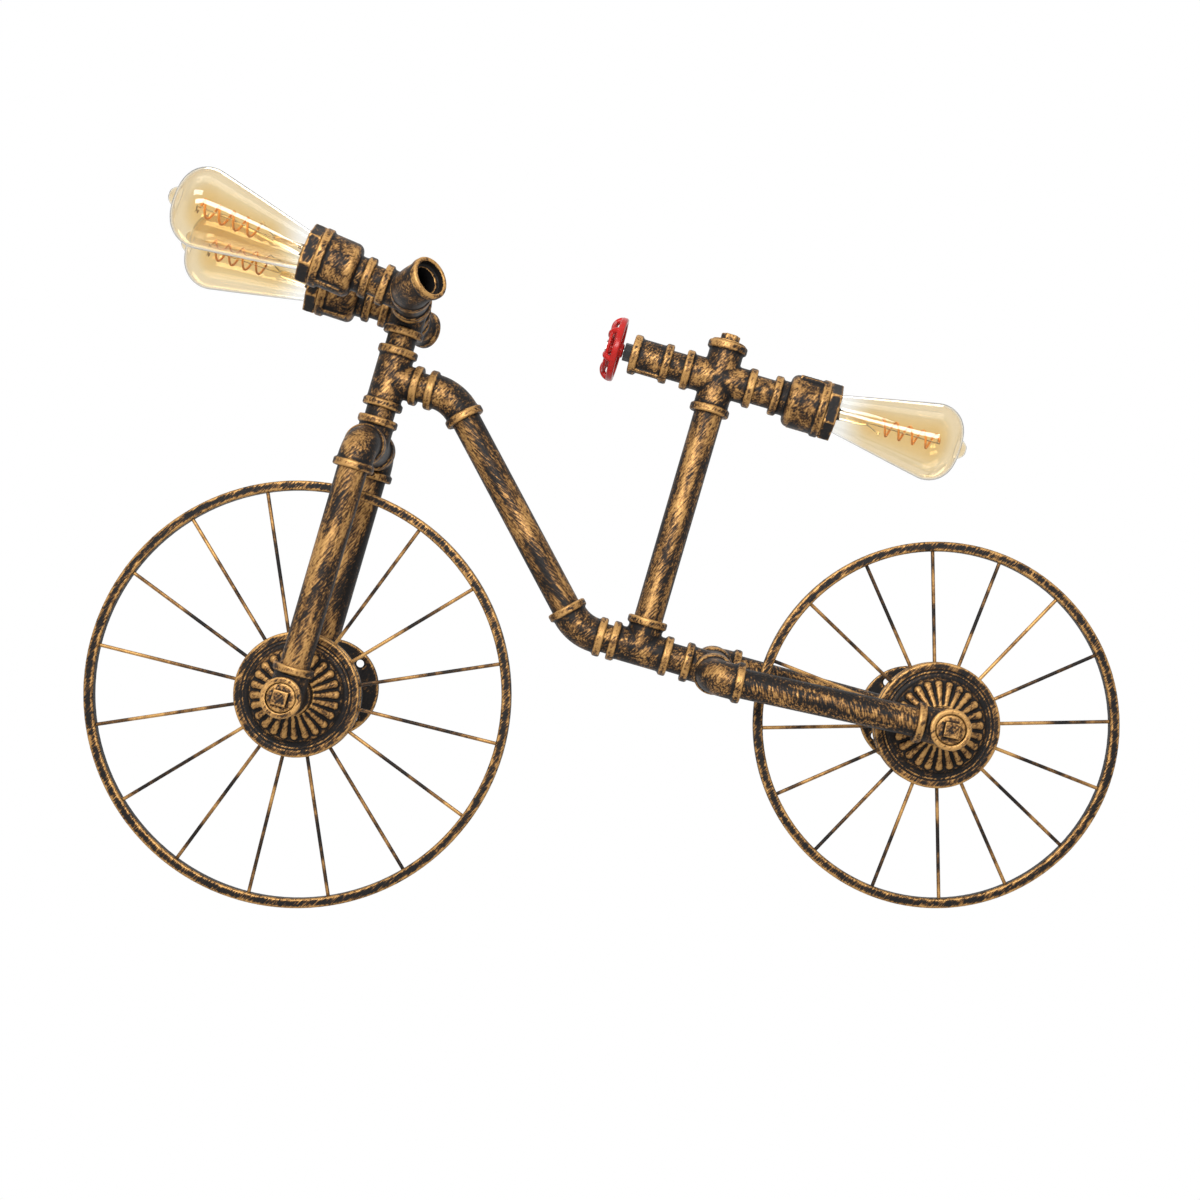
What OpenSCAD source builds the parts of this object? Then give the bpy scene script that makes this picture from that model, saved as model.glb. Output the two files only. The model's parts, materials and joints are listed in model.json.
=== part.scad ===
/* [Stance] */
// Outer diameter of the large front wheel
front_wheel_d = 350; // [300:1:400]
// Outer diameter of the small rear wheel, which stands on the same ground line
rear_wheel_d = 300; // [260:1:340]
// Lean of the steering and seat axes back from upright, in degrees
lean = 16.3; // [12:0.1:20]
// Clear space between the front rim and the fork crown tee
crown_gap = 19; // [8:0.5:40]
// Clear space between the rear rim and the rear tee
stay_gap = 21.5; // [8:0.5:40]
// Roll of the rear tee about the bottom run, in degrees
stay_roll = 5.7; // [0:0.1:8]

/* [Pipe and fittings] */
// Outer diameter of the pipe
pipe_d = 24; // [21:0.5:25]
// Inner diameter of the pipe and of the passage through the fittings
pipe_bore = 20; // [16:0.5:21]
// Radial gap between a pipe end and the socket that it is screwed into
thread_gap = 0.05; // [0.02:0.01:0.2]
// Outer diameter of the cast body of a fitting
body_d = 28.5; // [27:0.5:31]
// Outer diameter of the collar round each mouth of a fitting
collar_d = 33; // [32:0.5:36]
// Length of a collar, which is also the depth of its socket
collar_len = 6.5; // [5:0.5:9]
// Chamfer on the edges of a collar
collar_edge = 1; // [0.4:0.1:1.6]
// Length of body between the crossing and the collar of a tee
tee_throat = 4.75; // [2:0.25:10]
// Length of body between the crossing and the collar of the cross
cross_throat = 9.25; // [4:0.25:14]
// Length of body between the branch and the collars of an axle tee
end_throat = 0.3; // [0.1:0.1:4]
// Gap left between the two collars on the inside of a right-angle elbow
elbow_gap = 0.8; // [0.5:0.1:4]
// Radius left on the inside of a slow bend
bend_throat = 22.6; // [10:0.2:30]
// Gap between two fittings that share a close nipple
close_gap = 1; // [0.5:0.1:4]

/* [Frame] */
// Bend of the two frame elbows, in degrees
frame_bend = 45.6; // [42:0.1:48]
// Visible length of the nipple between the crown tee and the head tee
steerer_gap = 8.2; // [4:0.1:20]
// Visible length of the nipple between the head tee and the handlebar tee
stem_gap = 10; // [4:0.1:20]
// Visible length of the nipple between the head tee and the upper elbow
head_gap = 6.5; // [3:0.1:20]
// Visible length of the down tube
down_tube_len = 173; // [140:1:210]
// Visible length of the nipple between the lower elbow and the bottom tee
lower_gap = 5.1; // [3:0.1:20]
// Visible length of the nipple between the bottom tee and the rear tee
rear_gap = 11.5; // [4:0.1:20]
// Visible length of the seat tube
seat_tube_len = 174.5; // [140:0.5:210]
// Width across the square head of an axle plug
axle_plug_square = 12; // [9:0.5:15]
// Height of the square head of an axle plug
axle_plug_h = 6; // [4:0.5:10]
// Width across the flats of the seat plug
seat_plug_flats = 14; // [11:0.5:18]
// Height of the head of the seat plug
seat_plug_h = 6; // [5:0.5:12]
// Thickness of the round flange under the head of the seat plug
seat_plug_flange = 1.5; // [1.5:0.5:5]

/* [Handlebar] */
// Turn of the handlebar about the steering axis, near end to the rear, in degrees
bar_turn = 8; // [-15:1:15]
// Visible length of the nipples between the handlebar tee and the lamp tees
bar_gap = 8; // [4:0.5:20]
// Upward tilt of the near front lamp, in degrees
near_lamp_tilt = 22; // [0:0.1:40]
// Upward tilt of the far front lamp, in degrees
far_lamp_tilt = 17.4; // [0:0.1:40]
// Bend of the two open grip elbows, in degrees
grip_bend = 45; // [35:1:50]
// Diameter of the stout body of a grip elbow
grip_d = 30.4; // [28:0.2:30.8]
// Diameter of the open mouth of a grip elbow
grip_mouth = 26; // [24:0.5:28]
// Lift of the mouth of the near grip above the line of the frame, in degrees
near_grip_lift = 36; // [-20:1:60]
// Lift of the mouth of the far grip above the line of the frame, in degrees
far_grip_lift = 4; // [-20:1:60]

/* [Lamps] */
// Visible length of the nipple behind each front lamp
front_lamp_gap = 8; // [4:0.5:20]
// Visible length of the nipple behind the rear lamp
rear_lamp_gap = 15.5; // [6:0.5:30]
// Length of a lamp cup
cup_len = 45; // [42:0.5:60]
// Outer diameter of the body of a lamp cup
cup_d = 43.5; // [42.5:0.5:46]
// Diameter of the cavity of a lamp cup
cup_bore = 39; // [38.5:0.1:40]
// Depth of the cavity of a lamp cup
cup_depth = 27; // [24:0.5:28]
// Outer diameter of the collar at the mouth of a lamp cup
cup_collar_d = 47.5; // [46.5:0.5:52]
// Length of the collar at the mouth of a lamp cup
cup_collar_len = 7; // [5:0.5:10]
// Length of the neck of a lamp cup
cup_neck_len = 6; // [4:0.5:8]
// Radius of the shoulder of a lamp cup
cup_shoulder = 6; // [4:0.5:8]
// Width of the two cast ribs along a lamp cup and along the coupling
rib_w = 4; // [2:0.5:6]
// Height of those ribs above the body
rib_h = 1.8; // [0.8:0.1:2]
// Width across the flats of the hexagon bush
bush_flats = 41; // [40:0.5:46]
// Length of the hexagon of the bush
bush_len = 10; // [6:0.5:14]
// Length of the bush inside the cup
bush_spigot = 8; // [5:0.5:10]
// Bore of the bush, which the neck of the bulb passes through
bush_bore = 35; // [34:0.25:36]
// Thickness of the floor of the lamp holder
holder_floor = 2.5; // [1.5:0.5:4]
// Outer diameter of the round bulb end
bulb_d = 64; // [58:1:70]
// Length of the bulb from the face of the bush to its tip
bulb_len = 110.5; // [100:0.5:125]
// Radius of the shoulder between the side and the crown of the bulb
bulb_shoulder = 22; // [18:0.5:26]
// Height of the drawn tip on the crown of the bulb
bulb_nub = 6; // [3:0.5:8]
// Thickness of the glass
glass_t = 1; // [0.6:0.1:1.6]
// Diameter of the screw cap of the bulb
cap_d = 26.5; // [25:0.25:27]
// Length of the screw cap
cap_len = 24; // [22:0.5:24.5]
// Gap between the screw cap and the holder
cap_gap = 0.3; // [0.2:0.05:0.6]
// Diameter of the coil of the filament
filament_d = 15; // [10:0.5:20]
// Thickness of the filament
filament_wire = 2; // [1.2:0.1:3]
// Rise of the filament in one curl
filament_pitch = 11.5; // [8:0.5:14]
// Number of curls in the filament
filament_turns = 4.25; // [2.25:0.5:4.75]
// Distance from the face of the bush to the first curl
filament_start = 38; // [32:1:46]

/* [Switch] */
// Visible length of the nipple between the cross and the coupling
switch_gap = 11.3; // [6:0.1:20]
// Length of the coupling that holds the switch
coupling_len = 33; // [28:0.5:45]
// Diameter of the black nut of the switch
switch_nut_d = 15; // [12:0.5:18]
// Length of the black nut
switch_nut_len = 6.3; // [4:0.1:10]
// Length of the switch behind its bush
switch_len = 16; // [12:0.5:18]
// Diameter of the switch spindle
spindle_d = 6; // [4:0.5:7]
// Radial gap of the turning spindle and of the turning wheels
running_gap = 0.05; // [0.02:0.01:0.09]
// Outer diameter of the handwheel
handwheel_d = 53; // [46:1:62]
// Width of the rim band of the handwheel along its axis
handwheel_rim = 5.5; // [4:0.5:7]
// Thickness of the rim band
handwheel_wall = 4; // [3:0.2:4.4]
// Height of the feet of the spokes above the back of the rim
handwheel_foot = 2.6; // [2.2:0.2:3]
// Radius of the arches that lift the spokes off the rim
handwheel_arch = 7.5; // [6:0.5:9]
// Thickness of a spoke of the handwheel
handwheel_spoke_d = 4.8; // [4.2:0.2:5.2]
// Thickness of the ring that joins the arches
handwheel_ring_d = 2.8; // [2:0.2:3.4]
// Slope of the spokes of the handwheel down to its hub, in degrees
handwheel_slope = 18; // [10:1:22]
// Number of spokes in the handwheel
handwheel_spokes = 6; // [5:1:7]
// Diameter of the hub of the handwheel
handwheel_hub_d = 12; // [11.5:0.5:16]
// Height of the nut on the handwheel
handwheel_nut_h = 3; // [2:0.5:4]

/* [Wheels] */
// Radial height of the rim section
rim_h = 8; // [5:0.5:12]
// Width of the rim section along the axle
rim_w = 10; // [6:0.5:14]
// Chamfer on the edges of the rim section
rim_edge = 1.2; // [0.4:0.1:2]
// Number of spokes in each wheel
spoke_count = 16; // [10:1:20]
// Diameter of a spoke
spoke_d = 3; // [2:0.1:4]
// Angle of the first spoke of the front wheel, in degrees
front_spoke_a = 8.5; // [0:0.5:22]
// Angle of the first spoke of the rear wheel, in degrees
rear_spoke_a = 1; // [0:0.5:22]
// Diameter of the two rosette discs of a hub
disc_d = 103; // [94:1:116]
// Thickness of a rosette disc
disc_t = 5.5; // [5:0.1:7]
// Diameter of the core between the discs
core_d = 80; // [70:1:90]
// Width of the core between the discs
core_w = 7; // [5:0.5:9]
// Outer diameter of the sleeve that turns on the axle
sleeve_d = 32; // [28:0.5:36]
// Gap between the ends of the sleeve and the axle tees
hub_play = 0.3; // [0.2:0.05:0.8]
// Distances of the two ring grooves from the edge of a disc
groove_insets = [6.5, 9.2];
// Radius of a ring groove
groove_r = 0.8; // [0.5:0.1:1]
// Distance from the edge of a disc to the foot of its bell
bell_inset = 11.5; // [11:0.5:14]
// Height of the steep brow at the foot of the bell
brow_h = 3; // [2:0.5:4]
// Width of the brow
brow_run = 2.5; // [1:0.5:4]
// Height of the flank above the brow
bell_h = 10; // [6:0.5:11]
// Number of petals round the bell
petal_count = 24; // [18:1:25]
// Width of a petal at its outer end
petal_w = 7.6; // [6:0.2:8]
// Depth to which the middle of a petal is sunk into the bell
petal_sink = 0.8; // [0.4:0.1:1.4]

/* [Wall flanges] */
// Diameter of a wall flange
flange_d = 89; // [84:1:100]
// Thickness of the plate of a wall flange
flange_t = 5; // [3:0.5:7]
// Height of a wall flange with its socket
flange_h = 25; // [20:0.5:34]
// Diameter of the circle of screw holes
hole_circle = 70; // [64:0.5:74]
// Number of screw holes in a flange
hole_count = 4; // [3:1:6]
// Diameter of a screw hole
hole_d = 7; // [4:0.5:8]
// Diameter of the countersink of a screw hole
hole_sink = 11; // [9:0.5:13]
// Angle of the first hole of the front flange, in degrees
front_hole_a = 38; // [0:1:89]
// Angle of the first hole of the rear flange, in degrees
rear_hole_a = 32; // [0:1:89]
// Visible length of the pipe between the front wheel's far tee and its flange
standoff = 52; // [30:1:80]

/* [Hidden] */
$fn = 48;
// How far a cut runs past the face that it opens
past = 2;
// How far a joined shape reaches into its neighbour
bite = 0.5;
// Gap between a welded spoke end and the round face that it meets
spoke_seat = 0.02;

bronze = "#8d6536";
dark_bronze = "#5a4128";
black = "#24211f";
red = "#c8322c";
amber = "#e6c27a";
brass = "#b8a06a";
orange = "#e87a24";
ceramic = "#e9e4d8";

// Distance from the middle of a fitting to its mouths
tee_half = body_d / 2 + tee_throat + collar_len;
cross_half = body_d / 2 + cross_throat + collar_len;
end_half = body_d / 2 + end_throat + collar_len;
elbow_r = collar_d / 2 - collar_edge + elbow_gap;
bend_r = body_d / 2 + bend_throat;
function reach(bend, radius) = radius * tan(bend / 2) + collar_len;
elbow_reach = reach(90, elbow_r);
frame_reach = reach(frame_bend, bend_r);
grip_reach = reach(grip_bend, bend_r);

// Distance from the frame plane to the legs and stays, and from the wall to the frame plane
leg_offset = tee_half + close_gap + elbow_reach;
rear_offset = leg_offset * cos(stay_roll);
wall_offset = leg_offset + end_half + standoff + flange_h;

// Directions: towards the viewer, up the seat axis and back along the frame
near = [0, -1, 0];
up = [sin(lean), 0, cos(lean)];
back = [cos(lean), 0, -sin(lean)];
down = [cos(lean + frame_bend), 0, -sin(lean + frame_bend)];

// Middles of the fittings, from the front axle up and back through the frame
front_hub = near * wall_offset;
crown = front_hub + up * (front_wheel_d / 2 + crown_gap + collar_d / 2);
head = crown + up * (2 * tee_half + steerer_gap);
bar = head + up * (2 * tee_half + stem_gap);
upper = head + back * (tee_half + head_gap + frame_reach);
lower = upper + down * (2 * frame_reach + down_tube_len);
bottom = lower + back * (frame_reach + lower_gap + tee_half);
rear_root = bottom + back * (2 * tee_half + rear_gap);
seat = bottom + up * (tee_half + seat_tube_len + cross_half);
rear_axle_z = (rear_wheel_d - front_wheel_d) / 2;
stay_span = rear_wheel_d / 2 + stay_gap + collar_d / 2;
stay_rise = rear_root.z - rear_axle_z;
rear_hub = [rear_root.x + sqrt(stay_span * stay_span - stay_rise * stay_rise), front_hub.y, rear_axle_z];

// Rear stays: corner of each elbow, direction of each stay and bend of each elbow
roll_dir = near * cos(stay_roll) - up * sin(stay_roll);
near_corner = rear_root + roll_dir * leg_offset;
far_corner = rear_root - roll_dir * leg_offset;
near_rear_end = rear_hub + near * rear_offset;
far_rear_end = rear_hub - near * rear_offset;
function unit(v) = v / norm(v);
near_stay = unit(near_rear_end - near_corner);
far_stay = unit(far_rear_end - far_corner);
near_stay_bend = acos(roll_dir * near_stay);
far_stay_bend = acos(-roll_dir * far_stay);
near_stay_reach = reach(near_stay_bend, elbow_r);
far_stay_reach = reach(far_stay_bend, elbow_r);

// Handlebar: direction of its near end, its turned back direction and its lamp tees
bar_dir = near * cos(bar_turn) + back * sin(bar_turn);
bar_back = back * cos(bar_turn) - near * sin(bar_turn);
lamp_offset = 2 * tee_half + bar_gap;
near_lamp_tee = bar + bar_dir * lamp_offset;
far_lamp_tee = bar - bar_dir * lamp_offset;
grip_offset = tee_half + close_gap + grip_reach;
function grip_dir(lift) = bar_back * cos(lift) + up * sin(lift);
function lamp_dir(tilt) = up * sin(tilt - lean) - bar_back * cos(tilt - lean);
near_lamp = lamp_dir(near_lamp_tilt);
far_lamp = lamp_dir(far_lamp_tilt);

// Faces of the three lamp bushes
front_lamp_reach = tee_half + front_lamp_gap + cup_len + bush_len;
near_face = near_lamp_tee + near_lamp * front_lamp_reach;
far_face = far_lamp_tee + far_lamp * front_lamp_reach;
rear_face = seat + back * (cross_half + rear_lamp_gap + cup_len + bush_len);

// Mouth of the coupling on the switch side
switch_mouth = seat - back * (cross_half + switch_gap + coupling_len);

// Heights along a lamp axis, measured from the face of the bush
cup_top = -bush_len;
cup_base = cup_top - cup_len;
cavity_floor = cup_top - cup_depth;
cap_base = cavity_floor + holder_floor + 1;
neck_z = cap_base + cap_len;
dome_z = bulb_len - bulb_nub - bulb_shoulder;
dome_r = bulb_d / 2 - bulb_shoulder;
neck_r = cap_d / 2 + 0.6;
neck_taper = atan2(dome_r - neck_r, dome_z - neck_z)
    + asin(bulb_shoulder / norm([dome_r - neck_r, dome_z - neck_z]));
stem_top = filament_start - 12;

// Filament: points along a coil of eight rings a curl with a straight end on each side
rings_per_curl = 8;
filament_sides = 6;
coil_r = (filament_d - filament_wire) / 2;
coil_rings = filament_turns * rings_per_curl;
function coil_a(i) = 360 * i / rings_per_curl;
function coil_point(i) = [coil_r * cos(coil_a(i)), coil_r * sin(coil_a(i)),
    filament_start + filament_pitch * i / rings_per_curl];
function coil_dir(i) = unit([-coil_r * sin(coil_a(i)), coil_r * cos(coil_a(i)), filament_pitch / (2 * PI)]);
function coil_out(i) = [cos(coil_a(i)), sin(coil_a(i)), 0];
function tube_ring(p, along, out) = [for (k = [0:filament_sides - 1])
    p + filament_wire / 2 * (cos(360 * k / filament_sides) * out
        + sin(360 * k / filament_sides) * cross(along, out))];
coil_first = coil_point(0) - coil_dir(0) * filament_wire;
coil_last = coil_point(coil_rings) + coil_dir(coil_rings) * filament_wire;
coil_points = [for (i = [0:coil_rings]) coil_point(i)];
least_gap = min([for (i = [0:coil_rings], j = [0:coil_rings])
    if (j - i > rings_per_curl / 2) norm(coil_points[i] - coil_points[j]) - filament_wire]);
echo(filament_least_gap = least_gap);

// Sets children at a point, with their Z axis along z and their X axis towards x
module place(p, z, x) {
    zn = unit(z);
    yn = unit(cross(zn, x));
    xn = cross(yn, zn);
    multmatrix([
        [xn.x, yn.x, zn.x, p.x],
        [xn.y, yn.y, zn.y, p.y],
        [xn.z, yn.z, zn.z, p.z],
        [0, 0, 0, 1]
    ]) children();
}

// Round bar or disc with chamfered edges
module disc(d, h, edge) {
    rotate_extrude()
        polygon([[0, 0], [d / 2 - edge, 0], [d / 2, edge], [d / 2, h - edge], [d / 2 - edge, h], [0, h]]);
}

module tube(outer, inner, h) {
    difference() {
        cylinder(d = outer, h = h);
        translate([0, 0, -past]) cylinder(d = inner, h = h + 2 * past);
    }
}

// Pipe between two mouths, screwed one collar deep into each
module pipe(a, b) {
    run = unit(b - a);
    side = abs(run * near) > 0.8 ? up : near;
    place(a - run * collar_len, run, side) tube(pipe_d, pipe_bore, norm(b - a) + 2 * collar_len);
}

// One arm of a fitting, from its middle up to a mouth with a collar
module arm(len) {
    cylinder(d = body_d, h = len - collar_edge);
    translate([0, 0, len - collar_len]) disc(collar_d, collar_len, collar_edge);
}

module arm_passage(len) {
    translate([0, 0, -bite]) cylinder(d = pipe_bore, h = len + bite);
    socket(len);
}

module socket(len) {
    translate([0, 0, len - collar_len]) cylinder(d = pipe_d + 2 * thread_gap, h = collar_len + past);
}

// Run of a fitting along Z, with a collar at each end
module run_body(half) {
    translate([0, 0, collar_edge - half]) cylinder(d = body_d, h = 2 * (half - collar_edge));
    for (side = [0, 1]) mirror([0, 0, side]) translate([0, 0, half - collar_len])
        disc(collar_d, collar_len, collar_edge);
}

module run_passage(half) {
    translate([0, 0, -half]) cylinder(d = pipe_bore, h = 2 * half);
    for (side = [0, 1]) mirror([0, 0, side]) socket(half);
}

// Tee with its run along Z and its branch along X
module tee(half, branch) {
    difference() {
        union() {
            run_body(half);
            rotate([0, 90, 0]) arm(branch);
        }
        run_passage(half);
        rotate([0, 90, 0]) arm_passage(branch);
    }
}

// Elbow that comes in along Z and turns towards X
module elbow(bend, radius, body = body_d, mouth = pipe_d + 2 * thread_gap) {
    start = radius * tan(bend / 2);
    difference() {
        union() {
            bend_tube(body, bend, radius, start);
            translate([0, 0, -start - collar_len]) disc(collar_d, collar_len, collar_edge);
            rotate([0, bend, 0]) translate([0, 0, start]) disc(collar_d, collar_len, collar_edge);
        }
        bend_tube(pipe_bore, bend, radius, start);
        rotate([180, 0, 0]) socket(start + collar_len);
        rotate([0, bend, 0]) translate([0, 0, start]) cylinder(d = mouth, h = collar_len + past);
    }
}

// Curved part of an elbow, with both ends run on a little into the collars
module bend_tube(d, bend, radius, start) {
    extra = past / radius * 180 / PI;
    translate([radius, 0, -start]) rotate([90, 0, 180]) rotate(-extra)
        rotate_extrude(angle = bend + 2 * extra) translate([radius, 0]) circle(d = d);
}

// Wall flanges, on the wall plane
module flange(first_hole) {
    hub_d = collar_d + 4;
    difference() {
        union() {
            disc(flange_d, flange_t, collar_edge);
            translate([0, 0, flange_t - bite]) cylinder(d1 = hub_d + 6, d2 = hub_d, h = 4);
            cylinder(d = hub_d, h = flange_h - bite);
            translate([0, 0, flange_h - collar_len - bite]) disc(hub_d + 3, collar_len + bite, collar_edge);
        }
        translate([0, 0, -past]) cylinder(d = pipe_bore, h = flange_h + 2 * past);
        socket(flange_h);
        for (i = [0:hole_count - 1]) rotate(first_hole + 360 * i / hole_count)
            translate([hole_circle / 2, 0, 0]) screw_hole();
    }
}

module screw_hole() {
    sink = (hole_sink - hole_d) / 2;
    translate([0, 0, -past]) cylinder(d = hole_d, h = flange_t + 2 * past);
    translate([0, 0, flange_t - sink]) cylinder(d1 = hole_d, d2 = hole_sink, h = sink);
    translate([0, 0, flange_t]) cylinder(d = hole_sink, h = past);
}

module front_wall_flange() {
    color(dark_bronze) place([0, 0, 0], near, [1, 0, 0]) flange(front_hole_a);
}

module rear_wall_flange() {
    color(dark_bronze) place([rear_hub.x, 0, rear_hub.z], near, [1, 0, 0]) flange(rear_hole_a);
}

module standoff_pipes() {
    color(bronze) for (end = [[front_hub, leg_offset], [rear_hub, rear_offset]])
        pipe(end[0] - near * (end[1] + end_half), [end[0].x, -flange_h, end[0].z]);
}

// Axles, plugs and axle tees
module axle(hub, offset) {
    pipe(hub + near * (offset - end_half), hub - near * (offset - end_half));
}

module front_axle() {
    color(bronze) axle(front_hub, leg_offset);
}

module rear_axle() {
    color(bronze) axle(rear_hub, rear_offset);
}

module axle_plugs() {
    color(bronze) for (end = [[front_hub + near * leg_offset, up], [near_rear_end, near_stay]])
        place(end[0] + near * (end_half - collar_len), near, end[1]) axle_plug();
}

module axle_plug() {
    face = collar_len - collar_edge;
    disc(pipe_d, face, collar_edge);
    translate([0, 0, face - bite]) linear_extrude(axle_plug_h + bite) square(axle_plug_square, center = true);
}

module fork_end_tees() {
    color(bronze) for (side = [-1, 1])
        place(front_hub + near * side * leg_offset, near, up) tee(end_half, tee_half);
}

module stay_end_tees() {
    color(bronze) {
        place(near_rear_end, near, -near_stay) tee(end_half, tee_half);
        place(far_rear_end, near, -far_stay) tee(end_half, tee_half);
    }
}

// Fork
module fork_legs() {
    color(bronze) for (side = [-1, 1]) {
        top = crown + near * side * leg_offset;
        foot = front_hub + near * side * leg_offset;
        pipe(top - up * elbow_reach, foot + up * tee_half);
    }
}

module fork_elbows() {
    color(bronze) for (side = [-1, 1])
        place(crown + near * side * leg_offset, near * side, -up) elbow(90, elbow_r);
}

module fork_crown_tee() {
    color(bronze) place(crown, near, up) tee(tee_half, tee_half);
}

// Every short nipple that joins two fittings
module pipe_nipples() {
    color(bronze) {
        pipe(crown + up * tee_half, head - up * tee_half);
        pipe(head + up * tee_half, bar - up * tee_half);
        pipe(head + back * tee_half, upper - back * frame_reach);
        pipe(lower + back * frame_reach, bottom - back * tee_half);
        pipe(bottom + back * tee_half, rear_root - back * tee_half);
        pipe(seat - back * cross_half, seat - back * (cross_half + switch_gap));
        pipe(seat + back * cross_half, seat + back * (cross_half + rear_lamp_gap));
        pipe(rear_root + roll_dir * tee_half, near_corner - roll_dir * near_stay_reach);
        pipe(rear_root - roll_dir * tee_half, far_corner + roll_dir * far_stay_reach);
        pipe(near_lamp_tee + near_lamp * tee_half, near_face - near_lamp * (cup_len + bush_len));
        pipe(far_lamp_tee + far_lamp * tee_half, far_face - far_lamp * (cup_len + bush_len));
        for (side = [-1, 1]) {
            pipe(crown + near * side * tee_half, crown + near * side * (tee_half + close_gap));
            pipe(bar + bar_dir * side * tee_half, bar + bar_dir * side * (tee_half + bar_gap));
            pipe(bar + bar_dir * side * (lamp_offset + tee_half),
                bar + bar_dir * side * (lamp_offset + tee_half + close_gap));
        }
    }
}

// Head and handlebar
module head_tee() {
    color(bronze) place(head, up, back) tee(tee_half, tee_half);
}

module handlebar_tee() {
    color(bronze) place(bar, bar_dir, -up) tee(tee_half, tee_half);
}

module lamp_tees() {
    color(bronze) {
        place(near_lamp_tee, bar_dir, near_lamp) tee(tee_half, tee_half);
        place(far_lamp_tee, bar_dir, far_lamp) tee(tee_half, tee_half);
    }
}

module near_grip_elbow() {
    color(bronze) place(near_lamp_tee + bar_dir * grip_offset, bar_dir, grip_dir(near_grip_lift))
        elbow(grip_bend, bend_r, grip_d, grip_mouth);
}

module far_grip_elbow() {
    color(bronze) place(far_lamp_tee - bar_dir * grip_offset, -bar_dir, grip_dir(far_grip_lift))
        elbow(grip_bend, bend_r, grip_d, grip_mouth);
}

// Main frame
module upper_elbow() {
    color(bronze) place(upper, back, down) elbow(frame_bend, bend_r);
}

module down_tube() {
    color(bronze) pipe(upper + down * frame_reach, lower - down * frame_reach);
}

module lower_elbow() {
    color(bronze) place(lower, down, back) elbow(frame_bend, bend_r);
}

module bottom_tee() {
    color(bronze) place(bottom, back, up) tee(tee_half, tee_half);
}

module seat_tube() {
    color(bronze) pipe(bottom + up * tee_half, seat - up * cross_half);
}

module seat_cross() {
    color(bronze) place(seat, up, back) difference() {
        union() {
            run_body(cross_half);
            rotate([0, 90, 0]) run_body(cross_half);
        }
        run_passage(cross_half);
        rotate([0, 90, 0]) run_passage(cross_half);
    }
}

module seat_plug() {
    color(bronze) place(seat + up * cross_half, up, back) {
        translate([0, 0, -collar_len]) cylinder(d = pipe_d, h = collar_len + bite);
        disc(collar_d - 4, seat_plug_flange, collar_edge);
        translate([0, 0, seat_plug_flange - bite])
            cylinder(d = seat_plug_flats / cos(30), h = seat_plug_h + bite, $fn = 6);
    }
}

// Rear tee, elbows and stays
module rear_tee() {
    color(bronze) place(rear_root, roll_dir, -back) tee(tee_half, tee_half);
}

module stay_elbows() {
    color(bronze) {
        place(near_corner, roll_dir, near_stay) elbow(near_stay_bend, elbow_r);
        place(far_corner, -roll_dir, far_stay) elbow(far_stay_bend, elbow_r);
    }
}

module chain_stays() {
    color(bronze) {
        pipe(near_corner + near_stay * near_stay_reach, near_rear_end - near_stay * tee_half);
        pipe(far_corner + far_stay * far_stay_reach, far_rear_end - far_stay * tee_half);
    }
}

// Lamp pieces, on an axis with the face of the bush at zero
module at_near_lamp() {
    place(near_face, near_lamp, up) children();
}

module at_far_lamp() {
    place(far_face, far_lamp, up) children();
}

module at_rear_lamp() {
    place(rear_face, back, -up) children();
}

module cup() {
    shoulder_z = cup_base + collar_len + cup_neck_len;
    difference() {
        union() {
            translate([0, 0, cup_base]) disc(collar_d, collar_len, collar_edge);
            translate([0, 0, cup_base + collar_len - bite])
                cylinder(d = body_d, h = cup_neck_len + 2 * bite);
            translate([0, 0, shoulder_z]) cylinder(r = cup_d / 2 - cup_shoulder, h = cup_shoulder + bite);
            translate([0, 0, shoulder_z + cup_shoulder]) {
                rotate_extrude() translate([cup_d / 2 - cup_shoulder, 0]) circle(cup_shoulder);
                cylinder(d = cup_d, h = cup_top - collar_edge - shoulder_z - cup_shoulder);
            }
            translate([0, 0, cup_top - cup_collar_len]) disc(cup_collar_d, cup_collar_len, collar_edge);
            ribs(cup_d, shoulder_z + cup_shoulder, cup_top - cup_collar_len);
        }
        translate([0, 0, cavity_floor]) cylinder(d = cup_bore, h = cup_depth + past);
        translate([0, 0, cup_base]) cylinder(d = pipe_bore, h = cup_len);
        rotate([180, 0, 0]) socket(-cup_base);
    }
}

// Two cast ribs along a round body, on opposite sides
module ribs(d, low, high) {
    for (side = [0, 1]) rotate(210 + 180 * side)
        translate([d / 2 - bite, -rib_w / 2, low]) cube([rib_h + bite, rib_w, high - low + bite]);
}

module near_lamp_cup() {
    color(bronze) at_near_lamp() cup();
}

module far_lamp_cup() {
    color(bronze) at_far_lamp() cup();
}

module rear_lamp_cup() {
    color(bronze) at_rear_lamp() cup();
}

module cup_bushes() {
    color(dark_bronze) {
        at_near_lamp() bush();
        at_far_lamp() bush();
        at_rear_lamp() bush();
    }
}

module bush() {
    difference() {
        union() {
            translate([0, 0, cup_top]) cylinder(d = bush_flats / cos(30), h = bush_len, $fn = 6);
            translate([0, 0, cup_top - bush_spigot]) cylinder(d = cup_bore - 2 * thread_gap, h = bush_spigot + bite);
        }
        translate([0, 0, cup_top - bush_spigot - past])
            cylinder(d = bush_bore, h = bush_spigot + bush_len + 2 * past);
    }
}

module lamp_holders() {
    color(ceramic) {
        at_near_lamp() holder();
        at_far_lamp() holder();
        at_rear_lamp() holder();
    }
}

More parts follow.
